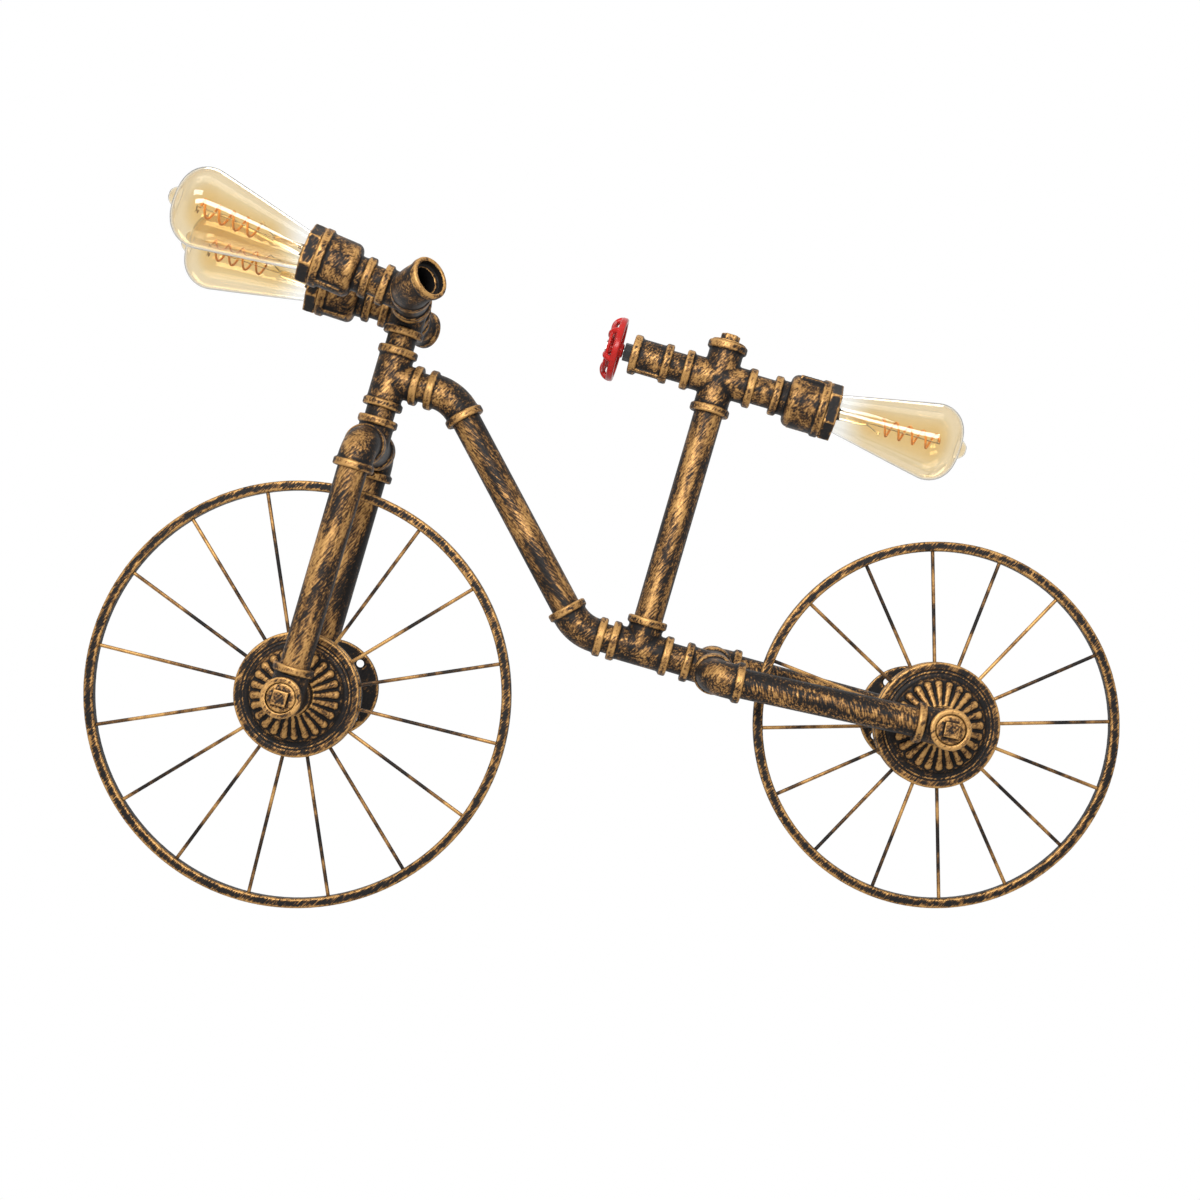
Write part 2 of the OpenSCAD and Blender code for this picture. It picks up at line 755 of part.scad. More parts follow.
// Holder on the floor of the cup, with a nose inside the bush and a contact in its floor
module holder() {
    difference() {
        union() {
            translate([0, 0, cavity_floor])
                cylinder(d = cup_bore - 2 * thread_gap, h = cup_depth - bush_spigot);
            translate([0, 0, cavity_floor]) cylinder(d = bush_bore - 2 * thread_gap, h = neck_z - cavity_floor - 1);
        }
        translate([0, 0, cavity_floor + holder_floor]) cylinder(d = cap_d + 2 * cap_gap, h = cup_depth + bush_len);
    }
    translate([0, 0, cavity_floor + holder_floor - bite]) cylinder(d = 8, h = 1 + bite);
}

// Bulb: glass envelope with its stem, screw cap, filament and the wires that carry it
module envelope(inset) {
    r = bulb_shoulder - inset;
    tangent = [dome_r + r * cos(neck_taper), dome_z - r * sin(neck_taper)];
    rotate_extrude() {
        intersection() {
            translate([dome_r, dome_z]) circle(r);
            translate([0, dome_z - r]) square([bulb_d, 2 * r]);
        }
        polygon([[0, neck_z + inset], [neck_r - inset / cos(neck_taper), neck_z + inset],
            tangent, [dome_r, dome_z + r], [0, dome_z + r]]);
    }
}

module bulb_glass() {
    color(amber, 0.5) {
        difference() {
            envelope(0);
            envelope(glass_t);
        }
        translate([0, 0, dome_z + bulb_shoulder - bite]) cylinder(d1 = 13, d2 = 7, h = bulb_nub + bite);
        translate([0, 0, neck_z + glass_t - bite]) cylinder(d1 = 18, d2 = 6, h = 10);
        translate([0, 0, neck_z + glass_t]) cylinder(d = 6, h = stem_top - neck_z - glass_t);
    }
}

module bulb_cap() {
    shell_base = cap_base + 4;
    shell_len = neck_z - shell_base;
    color(brass) {
        translate([0, 0, shell_base]) difference() {
            cylinder(d = cap_d, h = shell_len);
            translate([0, 0, 1]) cylinder(d = cap_d - 2, h = shell_len);
        }
        translate([0, 0, cap_base + 1]) cylinder(d1 = 12, d2 = cap_d - 4, h = 3 + bite);
        translate([0, 0, cap_base]) cylinder(d = 10, h = 2);
    }
}

module filament() {
    rings = concat(
        [tube_ring(coil_first, coil_dir(0), coil_out(0))],
        [for (i = [0:coil_rings]) tube_ring(coil_points[i], coil_dir(i), coil_out(i))],
        [tube_ring(coil_last, coil_dir(coil_rings), coil_out(coil_rings))]
    );
    sides = filament_sides;
    last = (len(rings) - 1) * sides;
    first_cap = [for (k = [1:sides - 2]) [0, k, k + 1]];
    last_cap = [for (k = [1:sides - 2]) [last, last + k + 1, last + k]];
    skin = [for (i = [0:len(rings) - 2], k = [0:sides - 1], half = [0, 1]) let (
        a = i * sides + k,
        b = i * sides + (k + 1) % sides
    ) half == 0 ? [a, a + sides, b + sides] : [a, b + sides, b]];
    color(orange) polyhedron([for (r = rings, p = r) p], concat(first_cap, skin, last_cap));
}

// Two clips that hold the ends of the coil, and the wires from the stem to them
wire_d = 1.2;

module filament_supports() {
    clip_d = filament_wire + 0.6;
    clip_len = 3;
    first_clip = coil_first - coil_dir(0) * clip_len * 0.8;
    last_clip = coil_last + coil_dir(coil_rings) * clip_len * 0.8;
    axis_end = [0, 0, last_clip.z];
    lead_foot = [1.8, 0, stem_top];
    lead_bend = lead_foot + [0, 0, 1.2];
    color(brass) {
        place(coil_first, -coil_dir(0), coil_out(0)) cylinder(d = clip_d, h = clip_len);
        place(coil_last, coil_dir(coil_rings), coil_out(coil_rings)) cylinder(d = clip_d, h = clip_len);
        wire(lead_foot, lead_bend);
        translate(lead_bend) sphere(d = wire_d + 0.4);
        wire(lead_bend, first_clip);
        wire([0, 0, stem_top], axis_end);
        wire(axis_end, last_clip);
    }
}

module wire(a, b) {
    side = abs(unit(b - a).z) > 0.9 ? [1, 0, 0] : [0, 0, 1];
    place(a, b - a, side) cylinder(d = wire_d, h = norm(b - a));
}

module near_bulb_glass() {
    at_near_lamp() bulb_glass();
}

module near_bulb_cap() {
    at_near_lamp() bulb_cap();
}

module near_filament() {
    at_near_lamp() filament();
}

module near_filament_supports() {
    at_near_lamp() filament_supports();
}

module far_bulb_glass() {
    at_far_lamp() bulb_glass();
}

module far_bulb_cap() {
    at_far_lamp() bulb_cap();
}

module far_filament() {
    at_far_lamp() filament();
}

module far_filament_supports() {
    at_far_lamp() filament_supports();
}

module rear_bulb_glass() {
    at_rear_lamp() bulb_glass();
}

module rear_bulb_cap() {
    at_rear_lamp() bulb_cap();
}

module rear_filament() {
    at_rear_lamp() filament();
}

module rear_filament_supports() {
    at_rear_lamp() filament_supports();
}

// Switch pieces, on an axis with the mouth of the coupling at zero
module at_switch() {
    place(switch_mouth, -back, up) children();
}

wheel_base_z = switch_nut_len + 0.7;
handwheel_back = wheel_base_z + 2.5;
handwheel_arch_r = (handwheel_d - handwheel_wall) / 2 - handwheel_arch;
handwheel_arch_z = handwheel_back + handwheel_foot;
handwheel_run = handwheel_arch_r - handwheel_arch * sin(handwheel_slope) - handwheel_hub_d / 2;
handwheel_top = handwheel_arch_z + handwheel_arch * cos(handwheel_slope) - handwheel_run * tan(handwheel_slope)
    + handwheel_spoke_d / 2 / cos(handwheel_slope);

module switch_coupling() {
    color(bronze) at_switch() difference() {
        union() {
            translate([0, 0, -coupling_len / 2]) run_body(coupling_len / 2);
            ribs(body_d, bite - coupling_len, -collar_len);
        }
        translate([0, 0, -coupling_len / 2]) run_passage(coupling_len / 2);
    }
}

module switch_body() {
    color(black) at_switch() difference() {
        translate([0, 0, -collar_len - switch_len]) cylinder(d = pipe_bore - 2 * thread_gap, h = switch_len);
        spindle_bore(-collar_len - switch_len / 2);
    }
}

module spindle_bore(low) {
    translate([0, 0, low]) cylinder(d = spindle_d + 2 * running_gap, h = coupling_len);
}

module switch_bush() {
    color(black) at_switch() difference() {
        union() {
            translate([0, 0, -collar_len]) disc(pipe_d, collar_len, collar_edge);
            translate([0, 0, -bite]) cylinder(d = switch_nut_d, h = switch_nut_len + bite, $fn = 8);
        }
        spindle_bore(-collar_len - past);
    }
}

module switch_spindle() {
    low = -collar_len - switch_len / 2 + hub_play;
    color(brass) at_switch() translate([0, 0, low]) cylinder(d = spindle_d, h = handwheel_top + handwheel_nut_h - low);
}

module handwheel() {
    ring_a = 62;
    color(red) at_switch() difference() {
        union() {
            translate([0, 0, handwheel_back]) rim_band();
            translate([0, 0, handwheel_arch_z + handwheel_arch * sin(ring_a)]) rotate_extrude()
                translate([handwheel_arch_r + handwheel_arch * cos(ring_a), 0]) circle(d = handwheel_ring_d);
            for (i = [0:handwheel_spokes - 1]) rotate(360 * i / handwheel_spokes)
                translate([handwheel_arch_r, 0, handwheel_arch_z]) handwheel_spoke();
            translate([0, 0, wheel_base_z]) disc(handwheel_hub_d, handwheel_top - wheel_base_z, collar_edge);
        }
        spindle_bore(0);
    }
}

module rim_band() {
    difference() {
        disc(handwheel_d, handwheel_rim, collar_edge);
        translate([0, 0, -past]) cylinder(d = handwheel_d - 2 * handwheel_wall, h = handwheel_rim + 2 * past);
    }
}

// Spoke that arches up from the rim and slopes down to the hub
module handwheel_spoke() {
    over = 90 + handwheel_slope;
    rotate([90, 0, 0]) {
        rotate_extrude(angle = over) translate([handwheel_arch, 0]) circle(d = handwheel_spoke_d);
        rotate(over) translate([handwheel_arch, -bite, 0]) rotate([-90, 0, 0])
            cylinder(d = handwheel_spoke_d - 0.4, h = (handwheel_run + past) / cos(handwheel_slope) + bite);
    }
}

module handwheel_nut() {
    color(brass) at_switch() difference() {
        translate([0, 0, handwheel_top]) cylinder(d = spindle_d + 5, h = handwheel_nut_h, $fn = 6);
        spindle_bore(handwheel_top - past);
    }
}

// Wheels, on their axle with the viewer along Z
module at_front_wheel() {
    place(front_hub, near, [1, 0, 0]) children();
}

module at_rear_wheel() {
    place(rear_hub, near, [1, 0, 0]) children();
}

module rim(d) {
    outer = d / 2;
    inner = outer - rim_h;
    w = rim_w / 2;
    rotate_extrude() polygon([
        [inner, rim_edge - w], [inner + rim_edge, -w], [outer - rim_edge, -w], [outer, rim_edge - w],
        [outer, w - rim_edge], [outer - rim_edge, w], [inner + rim_edge, w], [inner, w - rim_edge]
    ]);
}

module spokes(d, first) {
    low = core_d / 2 + spoke_seat;
    high = d / 2 - rim_h - spoke_seat;
    for (i = [0:spoke_count - 1]) rotate(first + 360 * i / spoke_count) rotate([0, 90, 0])
        translate([0, 0, low]) cylinder(d = spoke_d, h = high - low);
}

module hub_discs() {
    for (side = [0, 1]) mirror([0, 0, side]) translate([0, 0, core_w / 2]) rosette();
}

// Disc with two ring grooves and a bell of round petals that rises to the sleeve
module rosette() {
    edge_r = disc_d / 2;
    bore_r = sleeve_d / 2 + thread_gap;
    inner_r = bore_r - past;
    brow_r = edge_r - bell_inset - brow_run;
    brow_z = disc_t + brow_h;
    slope = atan2(bell_h, brow_r - bore_r);
    inner_z = brow_z + (brow_r - inner_r) * tan(slope);
    land = 0.6 * petal_w;
    difference() {
        union() {
            rotate_extrude() polygon([
                [inner_r, 0], [edge_r - collar_edge, 0], [edge_r, collar_edge], [edge_r, disc_t - collar_edge],
                [edge_r - collar_edge, disc_t], [edge_r - bell_inset, disc_t], [brow_r, brow_z], [inner_r, inner_z]
            ]);
            for (i = [0:petal_count - 1]) rotate(360 * i / petal_count) translate([brow_r, 0, brow_z])
                rotate([0, slope, 0]) translate([-land, 0, -petal_sink])
                petal((brow_r - bore_r) / cos(slope) - land + bite);
        }
        for (inset = groove_insets) translate([0, 0, disc_t]) rotate_extrude()
            translate([edge_r - inset, 0]) circle(groove_r);
        translate([0, 0, -past]) cylinder(r = bore_r, h = inner_z + petal_w + past);
    }
}

// Rib that narrows as it climbs, with a round outer end
module petal(len) {
    rotate([0, -90, 0]) cylinder(d1 = petal_w, d2 = petal_w * 0.45, h = len);
    sphere(d = petal_w);
}

// Sleeve that turns on the axle, with the core that the spokes are welded to
module hub_sleeve(offset) {
    half = offset - end_half - hub_play;
    difference() {
        union() {
            translate([0, 0, -half]) disc(sleeve_d, 2 * half, collar_edge);
            translate([0, 0, -core_w / 2]) cylinder(d = core_d, h = core_w);
        }
        translate([0, 0, -half - past]) cylinder(d = pipe_d + 2 * running_gap, h = 2 * (half + past));
    }
}

module front_rim() {
    color(bronze) at_front_wheel() rim(front_wheel_d);
}

module front_spokes() {
    color(bronze) at_front_wheel() spokes(front_wheel_d, front_spoke_a);
}

module front_hub_discs() {
    color(bronze) at_front_wheel() hub_discs();
}

module front_hub_sleeve() {
    color(dark_bronze) at_front_wheel() hub_sleeve(leg_offset);
}

module rear_rim() {
    color(bronze) at_rear_wheel() rim(rear_wheel_d);
}

module rear_spokes() {
    color(bronze) at_rear_wheel() spokes(rear_wheel_d, rear_spoke_a);
}

module rear_hub_discs() {
    color(bronze) at_rear_wheel() hub_discs();
}

module rear_hub_sleeve() {
    color(dark_bronze) at_rear_wheel() hub_sleeve(rear_offset);
}

front_wall_flange();
rear_wall_flange();
standoff_pipes();
front_axle();
rear_axle();
axle_plugs();
fork_end_tees();
fork_legs();
fork_elbows();
fork_crown_tee();
pipe_nipples();
head_tee();
handlebar_tee();
lamp_tees();
near_grip_elbow();
far_grip_elbow();
near_lamp_cup();
far_lamp_cup();
rear_lamp_cup();
cup_bushes();
lamp_holders();
upper_elbow();
down_tube();
lower_elbow();
bottom_tee();
seat_tube();
seat_cross();
seat_plug();
switch_coupling();
switch_body();
switch_bush();
switch_spindle();
handwheel();
handwheel_nut();
rear_tee();
stay_elbows();
chain_stays();
stay_end_tees();
front_rim();
front_spokes();
front_hub_discs();
front_hub_sleeve();
rear_rim();
rear_spokes();
rear_hub_discs();
rear_hub_sleeve();
near_bulb_glass();
near_bulb_cap();
near_filament();
near_filament_supports();
far_bulb_glass();
far_bulb_cap();
far_filament();
far_filament_supports();
rear_bulb_glass();
rear_bulb_cap();
rear_filament();
rear_filament_supports();
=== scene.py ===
"""Dresses the bicycle pipe lamp: cast fittings, brushed bronze pipes, amber bulbs and a plain studio."""

import json
import math

import bpy
import numpy as np
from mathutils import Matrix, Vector
from mathutils.bvhtree import BVHTree


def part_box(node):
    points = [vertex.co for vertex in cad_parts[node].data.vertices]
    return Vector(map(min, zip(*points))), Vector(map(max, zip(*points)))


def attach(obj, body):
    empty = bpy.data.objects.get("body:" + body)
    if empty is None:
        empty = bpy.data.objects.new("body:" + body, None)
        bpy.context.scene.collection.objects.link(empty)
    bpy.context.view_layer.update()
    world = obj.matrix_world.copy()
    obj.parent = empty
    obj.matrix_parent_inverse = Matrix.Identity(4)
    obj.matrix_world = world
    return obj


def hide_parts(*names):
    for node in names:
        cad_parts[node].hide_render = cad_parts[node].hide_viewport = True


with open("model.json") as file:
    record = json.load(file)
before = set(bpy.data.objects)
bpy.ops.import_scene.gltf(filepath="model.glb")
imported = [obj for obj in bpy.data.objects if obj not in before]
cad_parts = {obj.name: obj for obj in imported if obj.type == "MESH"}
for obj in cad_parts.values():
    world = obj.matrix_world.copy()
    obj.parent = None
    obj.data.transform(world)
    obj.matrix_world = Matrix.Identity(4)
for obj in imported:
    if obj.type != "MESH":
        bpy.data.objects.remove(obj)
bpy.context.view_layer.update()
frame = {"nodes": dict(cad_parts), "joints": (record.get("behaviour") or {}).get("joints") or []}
nodes = frame["nodes"]
joints = {joint["name"]: joint for joint in frame["joints"]}

MM = 0.001
PICTURE = 1200

# Camera, as a plain front view: distance to the frame plane and pixels to a millimetre there
CAMERA_DISTANCE = 1406.6 * MM
PIXELS_PER_MM = 1.2198
SIGHT_PIXEL = (636.8, 621.2)
ORIGIN_PIXEL = (298.0, 694.2)
SENSOR_MM = 36

# Bulb sizes, in millimetres, with heights from the face of the bush
BULB_TIP = 110.5
BULB_SHOULDER = 22.0
SHOULDER_CENTRE = (10.0, 82.5)
GLASS_WALL = 1.0
CLEAR_NECK = 7.0
TINTED_FROM = 15.0
STEM_FOOT = -10.0
STEM_TOP = 26.0
COIL_RADIUS = 6.5
COIL_WIRE = 1.0
COIL_START = 38.0
COIL_PITCH = 11.5
COIL_TURNS = 4.25

# Fineness of the bulb meshes: degrees to a shoulder step, sides all round and steps to a turn of the coil
SHOULDER_STEP = 8
BULB_SIDES = 64
STEM_SIDES = 40
COIL_SIDES = 12
COIL_STEPS = 24


# Working helpers


def select_only(piece):
    bpy.ops.object.select_all(action="DESELECT")
    piece.select_set(True)
    bpy.context.view_layer.objects.active = piece


def apply_modifiers(piece):
    select_only(piece)
    for modifier in list(piece.modifiers):
        bpy.ops.object.modifier_apply(modifier=modifier.name)


def points_of(mesh):
    points = np.zeros(len(mesh.vertices) * 3)
    mesh.vertices.foreach_get("co", points)
    return points.reshape(-1, 3)


def finish_piece(piece, body, slot, material, *replaced):
    """Paints a piece, gives it its body and hides the CAD nodes that it stands for; the slot is not used."""
    piece.data.materials.clear()
    piece.data.materials.append(material)
    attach(piece, body)
    if replaced:
        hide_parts(*replaced)


# Materials


def add_node(tree, kind, inputs=None, **settings):
    node = tree.nodes.new(kind)
    for name, value in settings.items():
        setattr(node, name, value)
    for name, value in (inputs or {}).items():
        node.inputs[name].default_value = value
    return node


def new_material(name):
    material = bpy.data.materials.new(name)
    material.use_nodes = True
    tree = material.node_tree
    return material, tree, tree.nodes["Principled BSDF"]


def weigh(tree, first, second, share):
    """Adds a share of the second value to the first."""
    node = add_node(tree, "ShaderNodeMath", operation="MULTIPLY_ADD")
    node.inputs[1].default_value = share
    tree.links.new(second, node.inputs[0])
    tree.links.new(first, node.inputs[2])
    return node.outputs[0]


def combine(tree, operation, first, second):
    node = add_node(tree, "ShaderNodeMath", operation=operation)
    tree.links.new(first, node.inputs[0])
    tree.links.new(second, node.inputs[1])
    return node.outputs[0]


def colour_ramp(tree, value, stops):
    ramp = add_node(tree, "ShaderNodeValToRGB")
    elements = ramp.color_ramp.elements
    while len(elements) < len(stops):
        elements.new(0.5)
    for element, (place, colour) in zip(elements, stops):
        element.position = place
        element.color = (*colour, 1)
    tree.links.new(value, ramp.inputs["Fac"])
    return ramp.outputs["Color"]


def spread(tree, value, low, high, out_low, out_high):
    """Maps a value from one range to another and stops at its ends."""
    node = add_node(tree, "ShaderNodeMapRange", {1: low, 2: high, 3: out_low, 4: out_high})
    tree.links.new(value, node.inputs[0])
    return node.outputs[0]


BLACK_COAT = (0.011, 0.010, 0.010)
DARK_COAT = (0.026, 0.018, 0.013)
BROWN_COAT = (0.118, 0.060, 0.024)
BRONZE_COAT = (0.295, 0.152, 0.052)
GOLD_COAT = (0.50, 0.280, 0.096)
COATS = [(0.0, BLACK_COAT), (0.28, DARK_COAT), (0.46, BROWN_COAT), (0.64, BRONZE_COAT), (0.92, GOLD_COAT)]
# How much gold goes on faces that look to the ends, to the front and back, and up and down, and its share in
# the paint: partly the brush's cover, partly painted shade that keeps the sides darker
FACE_GOLD_AND_SIDE_SHADE = (0.25, 0.97, 0.5)
SIDE_SHADE_SHARE = 0.36
# Level of paint that starts to cover the black, and the rise from there to full gold
BARE_LEVEL = 0.23
GOLD_RISE = 0.36
PORES_PER_METRE = 520.0
# Metal and roughness of the paint, each for bare black and for full gold
PAINT_METAL = (0.05, 0.55)
PAINT_ROUGHNESS = (0.48, 0.40)
PAINT_GLOSS = 0.14
PORE_RELIEF = 0.5
PAINT_RELIEF = {"Strength": 0.4, "Distance": 0.0006}


def stretched_noise(tree, place, size, turn, detail):
    """Noise whose spots have a given size, in metres, and direction."""
    mapping = add_node(tree, "ShaderNodeMapping", vector_type="TEXTURE")
    mapping.inputs["Rotation"].default_value = turn
    mapping.inputs["Scale"].default_value = size
    tree.links.new(place, mapping.inputs["Vector"])
    look = {"Scale": 1.0, "Detail": detail, "Roughness": 0.6, "Distortion": 0.05}
    noise = add_node(tree, "ShaderNodeTexNoise", look)
    tree.links.new(mapping.outputs["Vector"], noise.inputs["Vector"])
    return noise.outputs["Fac"]


def bronze_paint(
        name, stroke, patch, turn=(0, 0, 0), slant=0.8, gold=0.0, fray=1.0, blotch=0.9, grain=0.3, edge=0.3):
    """Black undercoat with gold over front and back in blotches, frayed by slanting strokes: partly dry-brush
    cover, partly painted shade that leaves the sides darker.

    Stroke and patch are the sizes of a brush stroke and a blotch, in metres. Gold, fray, blotch, grain and
    edge are the shares of plain cover, strokes, blotches, pores, and worn edges together with the painted
    shade inside bores.
    """
    material, tree, shader = new_material(name)
    link = tree.links.new
    surface = add_node(tree, "ShaderNodeTexCoord")
    place = surface.outputs["Object"]
    patches = stretched_noise(tree, place, patch, turn, detail=3.0)
    strokes = stretched_noise(tree, place, stroke, (turn[0], turn[1] + slant, turn[2]), detail=4.0)
    pores = add_node(tree, "ShaderNodeTexNoise", {"Scale": PORES_PER_METRE, "Detail": 3.0, "Roughness": 0.7})
    link(place, pores.inputs["Vector"])
    # Edge wear, and for open fittings painted shade inside the bore, as stored on the mesh
    wear_and_bore_shade = add_node(tree, "ShaderNodeAttribute", attribute_name="wear_and_bore_shade").outputs["Fac"]
    # Painted shade: faces turned to the sides get less gold than those that look front, back, up or down
    faced = add_node(tree, "ShaderNodeVectorMath", operation="ABSOLUTE")
    link(surface.outputs["Normal"], faced.inputs[0])
    brush_and_side_shade = add_node(tree, "ShaderNodeVectorMath", operation="DOT_PRODUCT")
    brush_and_side_shade.inputs[1].default_value = FACE_GOLD_AND_SIDE_SHADE
    link(faced.outputs["Vector"], brush_and_side_shade.inputs[0])
    paint = spread(tree, strokes, 0, 1, 0, fray)
    paint = weigh(tree, paint, patches, blotch)
    paint = weigh(tree, paint, pores.outputs["Fac"], grain)
    paint = weigh(tree, paint, brush_and_side_shade.outputs["Value"], SIDE_SHADE_SHARE)
    paint = weigh(tree, paint, wear_and_bore_shade, edge)
    bare = (fray + blotch + grain) / 2 + BARE_LEVEL - gold
    cover = spread(tree, paint, bare, bare + GOLD_RISE, 0, 1)
    link(colour_ramp(tree, cover, COATS), shader.inputs["Base Color"])
    link(spread(tree, cover, 0, 1, *PAINT_METAL), shader.inputs["Metallic"])
    link(spread(tree, cover, 0, 1, *PAINT_ROUGHNESS), shader.inputs["Roughness"])
    shader.inputs["Specular IOR Level"].default_value = PAINT_GLOSS
    relief = weigh(tree, paint, pores.outputs["Fac"], PORE_RELIEF)
    bump = add_node(tree, "ShaderNodeBump", PAINT_RELIEF)
    link(relief, bump.inputs["Height"])
    link(bump.outputs["Normal"], shader.inputs["Normal"])
    return material


# Noise levels of an even finish's dark and plain spots, and of its smooth and rough ones with their roughness
SPOT_LEVELS = (0.3, 0.65)
ROUGH_LEVELS = (0.3, 0.7)
ROUGH_SHARES = (0.85, 1.15)


def plain_finish(name, colour, roughness, metallic=0.0, gloss=0.5, grain=600.0, depth=0.00008, shade=0.78):
    """An even finish with a fine unevenness of its surface, and of its colour down to the given shade."""
    material, tree, shader = new_material(name)
    link = tree.links.new
    place = add_node(tree, "ShaderNodeTexCoord").outputs["Object"]
    noise = add_node(tree, "ShaderNodeTexNoise", {"Scale": grain, "Detail": 4.0})
    link(place, noise.inputs["Vector"])
    dark = tuple(channel * shade for channel in colour)
    spots = list(zip(SPOT_LEVELS, (dark, colour)))
    link(colour_ramp(tree, noise.outputs["Fac"], spots), shader.inputs["Base Color"])
    rough = [roughness * share for share in ROUGH_SHARES]
    link(spread(tree, noise.outputs["Fac"], *ROUGH_LEVELS, *rough), shader.inputs["Roughness"])
    bump = add_node(tree, "ShaderNodeBump", {"Strength": 0.3, "Distance": depth})
    link(noise.outputs["Fac"], bump.inputs["Height"])
    link(bump.outputs["Normal"], shader.inputs["Normal"])
    shader.inputs["Metallic"].default_value = metallic
    shader.inputs["Specular IOR Level"].default_value = gloss
    return material


# As the surface turns away from the eye: the amber coating painted deeper square on, as a painted inner
# reflection, and at the rim, as painted shade; the bend of light in its glass; and the outline darkened as
# painted shade
MIDDLE_PAINTED_REFLECTION = {"low": 0.02, "high": 0.24, "out_low": 1.0, "out_high": 0.45}
RIM_PAINTED_SHADE = {"low": 0.36, "high": 0.72, "out_low": 0.45, "out_high": 1.0}
GLASS_BEND = {"low": 0.40, "high": 0.72, "out_low": 1.45, "out_high": 1.42}
OUTLINE_PAINTED_SHADE = [(0.68, (1, 1, 1)), (0.82, (0.70, 0.66, 0.60)), (0.92, (0.30, 0.28, 0.26))]


def bulb_glass_finish(name, clear, pale, deep):
    """Glass with a coating inside that ends at the neck; its colour is painted deepest seen square on, as an
    inner reflection, and at the outline, as shade.
    """
    material, tree, shader = new_material(name)
    link = tree.links.new
    share = add_node(tree, "ShaderNodeAttribute", attribute_name="tint").outputs["Fac"]
    facing = add_node(tree, "ShaderNodeLayerWeight", {"Blend": 0.5}).outputs["Facing"]
    # Painted inner reflection in the middle and painted shade at the rim, by the angle to the eye
    painted_depth = combine(tree, "MAXIMUM", spread(tree, facing, **MIDDLE_PAINTED_REFLECTION), spread(tree, facing, **RIM_PAINTED_SHADE))
    depth = combine(tree, "MULTIPLY", share, painted_depth)
    shade = add_node(tree, "ShaderNodeMix", data_type="RGBA", blend_type="MULTIPLY")
    shade.inputs["Factor"].default_value = 1.0
    link(colour_ramp(tree, depth, [(0.0, clear), (0.45, pale), (1.0, deep)]), shade.inputs["A"])
    # Painted shade that darkens the outline
    link(colour_ramp(tree, facing, OUTLINE_PAINTED_SHADE), shade.inputs["B"])
    link(shade.outputs["Result"], shader.inputs["Base Color"])
    shader.inputs["Roughness"].default_value = 0.0
    link(spread(tree, facing, **GLASS_BEND), shader.inputs["IOR"])
    shader.inputs["Transmission Weight"].default_value = 1.0
    return material


def along(direction):
    """Turn that lays a brush stroke along a direction in the frame plane."""
    return (0, math.atan2(direction[0], direction[2]), 0)


# Directions of the pipes, and sizes of brush strokes and blotches in metres
LEAN = math.radians(16.3)
UP = (math.sin(LEAN), 0, math.cos(LEAN))
STAY = (0.974, 0, -0.226)
ACROSS = (math.radians(90), 0, 0)
PIPE_STROKE = (0.0010, 0.0010, 0.011)
PIPE_PATCH = (0.010, 0.010, 0.050)
STAY_STROKE = (0.0016, 0.0016, 0.010)
CAST_STROKE = (0.0010, 0.0010, 0.007)
CAST_PATCH = (0.011, 0.011, 0.011)
SPOKE_STROKE = (0.02, 0.02, 0.02)
SPOKE_PATCH = (0.04, 0.04, 0.04)

low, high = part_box("down_tube")
slope = (high.x - low.x, 0, low.z - high.z)
cast_bronze = bronze_paint(
    "cast_bronze", CAST_STROKE, CAST_PATCH, gold=-0.03, fray=0.8, blotch=0.75, grain=0.42)
disc_bronze = bronze_paint(
    "disc_bronze", CAST_STROKE, CAST_PATCH, gold=-0.065, fray=0.8, blotch=0.6, edge=0.36)
plug_bronze = bronze_paint(
    "plug_bronze", CAST_STROKE, CAST_PATCH, gold=0.03, fray=0.4, blotch=0.5, grain=0.8, edge=0.15)
upright_bronze = bronze_paint(
    "upright_pipe_bronze", PIPE_STROKE, PIPE_PATCH, along(UP), slant=0.5, gold=0.032, fray=0.75)
slope_bronze = bronze_paint(
    "slope_pipe_bronze", PIPE_STROKE, PIPE_PATCH, along(slope), slant=-0.35, gold=0.01, fray=0.75)
stay_bronze = bronze_paint(
    "stay_pipe_bronze", STAY_STROKE, PIPE_PATCH, along(STAY), slant=1.2, gold=-0.04)
axle_bronze = bronze_paint("axle_pipe_bronze", PIPE_STROKE, PIPE_PATCH, ACROSS)
rim_bronze = bronze_paint("rim_bronze", CAST_STROKE, CAST_PATCH, gold=-0.11, blotch=0.6, edge=0.36)
spoke_bronze = bronze_paint(
    "spoke_bronze", SPOKE_STROKE, SPOKE_PATCH, gold=0.05, fray=0.5, blotch=1.0, grain=0.2)
shaded_bronze = bronze_paint(
    "shaded_bronze", CAST_STROKE, CAST_PATCH, gold=-0.14, fray=0.7, blotch=0.65, grain=0.5)
red_enamel = plain_finish(
    "red_enamel", (0.45, 0.013, 0.010), roughness=0.22, gloss=0.25, grain=60.0, depth=0.00004)
black_moulding = plain_finish("black_moulding", (0.018, 0.018, 0.018), roughness=0.45)
drawn_brass = plain_finish("drawn_brass", (0.60, 0.50, 0.28), roughness=0.3, metallic=1.0)
holder_ceramic = plain_finish("holder_ceramic", (0.78, 0.75, 0.68), roughness=0.55)
filament_coat = plain_finish("filament_coat", (0.95, 0.40, 0.045), roughness=0.5)
plated_steel = plain_finish("plated_steel", (0.42, 0.41, 0.39), roughness=0.35, metallic=1.0)
support_wire = plain_finish("support_wire", (0.5, 0.46, 0.38), roughness=0.35, metallic=0.9)
amber_glass = bulb_glass_finish(
    "amber_glass", clear=(0.97, 0.97, 0.955), pale=(0.90, 0.83, 0.69), deep=(0.86, 0.70, 0.42))
stem_glass = bulb_glass_finish(
    "stem_glass", clear=(0.88, 0.81, 0.67), pale=(0.82, 0.67, 0.42), deep=(0.76, 0.56, 0.28))


# Cast fittings: a copy of each rough solid with its edges and inside corners rounded over

